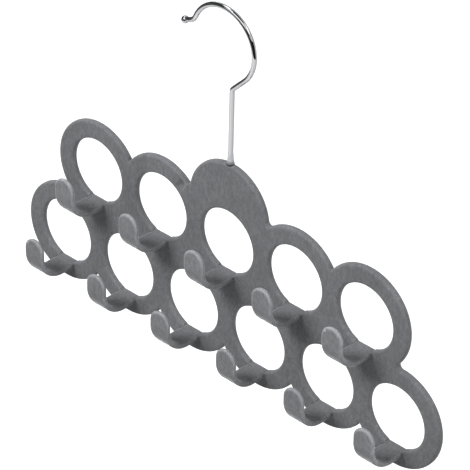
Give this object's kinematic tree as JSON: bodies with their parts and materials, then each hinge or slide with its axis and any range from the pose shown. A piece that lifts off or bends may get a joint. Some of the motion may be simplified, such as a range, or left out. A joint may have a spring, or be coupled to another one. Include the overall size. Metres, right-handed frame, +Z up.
{
  "type": "scarf hanger",
  "caption": "Flat flocked rack of rings with forward scarf hooks under them, hung from a closet rod by a swivelling chrome wire hook.",
  "frame": {"origin": "the point where a closet rod bears on the inside of the wire hook, at its highest point", "axes": "+Z up along the wire hook's stem, +X along the rack to its right as seen from the front, the scarf hooks point to -Y"},
  "size_m": [0.3726, 0.0361, 0.2681],
  "materials": {
    "flocked_body": "short dense grey flock over an injection-moulded plastic body",
    "neck_bush": "dark grey moulded plastic",
    "chrome_wire": "bright chrome plating on steel wire"
  },
  "bodies": {
    "hanging_hook": {"wire_hook": "chrome_wire", "hook_ball": "chrome_wire"},
    "rack": {"rack_plate": "flocked_body", "scarf_hook_upper_1": "flocked_body", "scarf_hook_upper_2": "flocked_body", "scarf_hook_upper_3": "flocked_body", "scarf_hook_upper_4": "flocked_body", "scarf_hook_upper_5": "flocked_body", "scarf_hook_lower_1": "flocked_body", "scarf_hook_lower_2": "flocked_body", "scarf_hook_lower_3": "flocked_body", "scarf_hook_lower_4": "flocked_body", "scarf_hook_lower_5": "flocked_body", "scarf_hook_lower_6": "flocked_body", "neck_bush": "neck_bush"}
  },
  "joints": [
    {"name": "hook_swivel", "type": "hinge", "parent": "hanging_hook", "child": "rack", "pos_m": [0.00832, 0, -0.12118], "axis": [0, 0, 1], "continuous": true}
  ]
}
